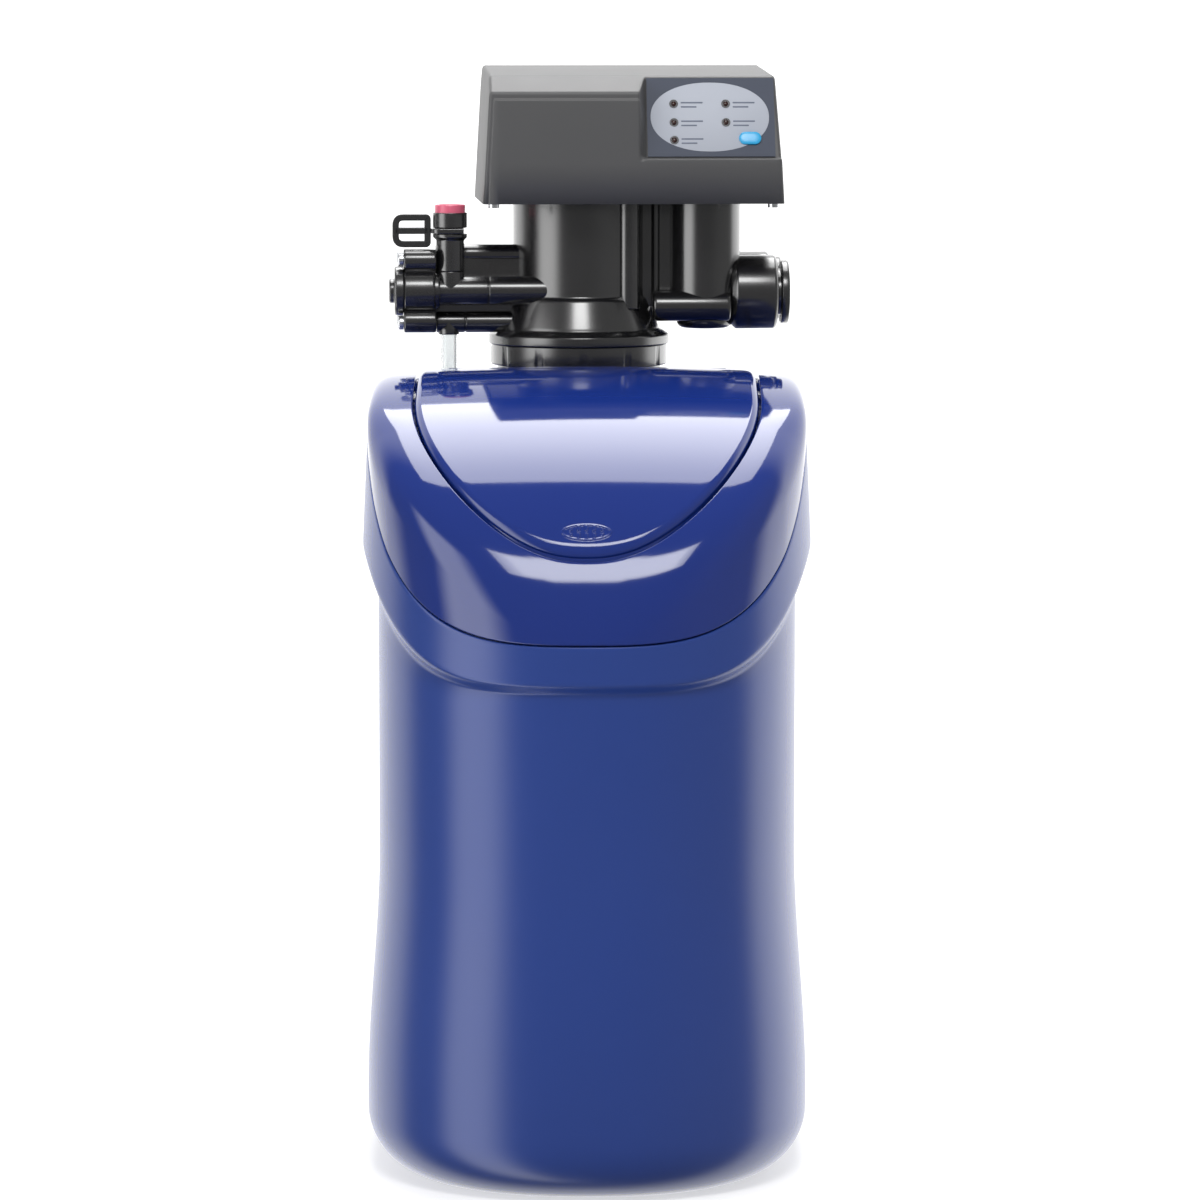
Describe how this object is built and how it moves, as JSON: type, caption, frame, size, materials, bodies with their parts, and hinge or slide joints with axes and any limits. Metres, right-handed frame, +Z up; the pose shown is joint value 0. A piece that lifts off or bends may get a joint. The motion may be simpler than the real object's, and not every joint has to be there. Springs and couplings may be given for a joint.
{
  "type": "water softener",
  "caption": "Cabinet water softener: moulded brine cabinet with a hinged salt lid, pressure vessel, control valve with push-fit ports and a motor-driven timer head.",
  "frame": {"origin": "middle of the cabinet's flat underside, on the floor", "axes": "+Z up, -Y to the front with the salt lid, +X to the right seen from the front"},
  "size_m": [0.2458, 0.3991, 0.604],
  "materials": {
    "satin_blue": "satin moulded",
    "gloss_blue": "high gloss moulded",
    "black_plastic": "satin glass-filled plastic",
    "charcoal_plastic": "fine textured housing",
    "grey_plastic": "moulded",
    "white_plastic": "moulded",
    "float_foam": "moulded",
    "clear_tube": "clear flexible tube",
    "vessel_blue": "wound fibre and resin",
    "resin": "resin beads",
    "seal_rubber": "moulded seal",
    "red_plastic": "moulded",
    "steel": "plated steel",
    "pinion_brass": "machined",
    "panel_film": "printed film",
    "lens_clear": "clear lens",
    "board_green": "circuit board",
    "button_blue": "moulded"
  },
  "bodies": {
    "cabinet": {"cabinet_body": "satin_blue", "top_cover": "gloss_blue", "rear_deck": "gloss_blue", "hinge_knuckles": "gloss_blue", "lid_hinge_pin": "steel", "brine_well": "white_plastic", "brine_well_cap": "white_plastic", "brine_pickup": "grey_plastic", "brine_tube": "clear_tube", "pressure_vessel": "vessel_blue", "vessel_boot": "black_plastic", "tank_collar": "black_plastic", "riser_tube": "white_plastic", "bottom_strainer": "white_plastic", "top_strainer": "white_plastic", "resin_bed": "resin", "neck_seal": "seal_rubber", "riser_seal": "seal_rubber", "valve_body": "black_plastic", "seal_stack": "seal_rubber", "piston_gland": "grey_plastic", "injector_body": "black_plastic", "injector_cap": "black_plastic", "injector_screws": "steel", "injector_nozzle": "red_plastic", "injector_throat": "white_plastic", "drain_socket": "black_plastic", "brine_connector": "black_plastic", "inlet_seal": "seal_rubber", "outlet_seal": "seal_rubber", "meter_cage": "white_plastic", "head_base": "black_plastic", "gear_bridge": "grey_plastic", "drive_motor": "steel", "control_cover": "charcoal_plastic", "cover_screws": "steel", "control_panel": "panel_film", "led_lenses": "lens_clear", "circuit_board": "board_green", "button_switch": "grey_plastic", "power_inlet": "black_plastic"},
    "lid": {"salt_lid": "gloss_blue", "lid_hinge_arms": "gloss_blue"},
    "float": {"float": "float_foam"},
    "piston": {"piston": "white_plastic", "piston_rod": "steel"},
    "drive_gear": {"drive_gear": "white_plastic"},
    "motor_pinion": {"motor_pinion": "pinion_brass"},
    "turbine": {"meter_turbine": "button_blue"},
    "inlet_cap": {"inlet_cap": "black_plastic"},
    "inlet_collet": {"inlet_collet": "black_plastic"},
    "outlet_cap": {"outlet_cap": "black_plastic"},
    "outlet_collet": {"outlet_collet": "black_plastic"},
    "drain_collet": {"drain_collet": "red_plastic"},
    "drain_clip": {"drain_clip": "black_plastic"},
    "button": {"regen_button": "button_blue"}
  },
  "joints": [
    {"name": "lid_hinge", "type": "hinge", "parent": "cabinet", "child": "lid", "pos_m": [0, 0.013, 0.4305], "axis": [-1, 0, 0], "range_deg": [0, 100]},
    {"name": "float_slide", "type": "slide", "parent": "cabinet", "child": "float", "axis": [0, 0, 1], "range_m": [0, 0.08]},
    {"name": "drive_gear_turn", "type": "hinge", "parent": "cabinet", "child": "drive_gear", "pos_m": [-0.005, 0.092, 0.537], "axis": [0, 0, 1], "range_deg": [0, 630]},
    {"name": "motor_pinion_turn", "type": "hinge", "parent": "cabinet", "child": "motor_pinion", "pos_m": [0.01173, 0.12556, 0.537], "axis": [0, 0, 1], "range_deg": [-2522, 2]},
    {"name": "piston_slide", "type": "slide", "parent": "cabinet", "child": "piston", "axis": [0, 0, 1], "range_m": [-0.00005, 0.01405]},
    {"name": "turbine_spin", "type": "hinge", "parent": "cabinet", "child": "turbine", "pos_m": [0.08339, 0.13748, 0.4744], "axis": [0.9981, 0.061, 0], "continuous": true},
    {"name": "inlet_cap_twist", "type": "hinge", "parent": "cabinet", "child": "inlet_cap", "pos_m": [0.09161, 0.08989, 0.4744], "axis": [0.9981, 0.061, 0], "range_deg": [0, 90]},
    {"name": "inlet_collet_push", "type": "slide", "parent": "inlet_cap", "child": "inlet_collet", "axis": [-0.9981, -0.061, 0], "range_m": [0, 0.002]},
    {"name": "outlet_cap_twist", "type": "hinge", "parent": "cabinet", "child": "outlet_cap", "pos_m": [0.08868, 0.1378, 0.4744], "axis": [0.9981, 0.061, 0], "range_deg": [0, 90]},
    {"name": "outlet_collet_push", "type": "slide", "parent": "outlet_cap", "child": "outlet_collet", "axis": [-0.9981, -0.061, 0], "range_m": [0, 0.002]},
    {"name": "drain_collet_push", "type": "slide", "parent": "cabinet", "child": "drain_collet", "axis": [0, 0, -1], "range_m": [0, 0.002]},
    {"name": "drain_clip_pull", "type": "slide", "parent": "cabinet", "child": "drain_clip", "axis": [-0.9981, -0.061, 0], "range_m": [0, 0.012]},
    {"name": "button_press", "type": "slide", "parent": "cabinet", "child": "button", "axis": [-0.0577, 0.9438, -0.3256], "range_m": [0, 0.0008], "stiffness_N_per_m": 800}
  ],
  "couplings": [
    {"joint": "motor_pinion_turn", "follows": "drive_gear_turn", "ratio": -4},
    {"joint": "piston_slide", "follows": "drive_gear_turn", "m_per_rad": 0.0012732}
  ]
}
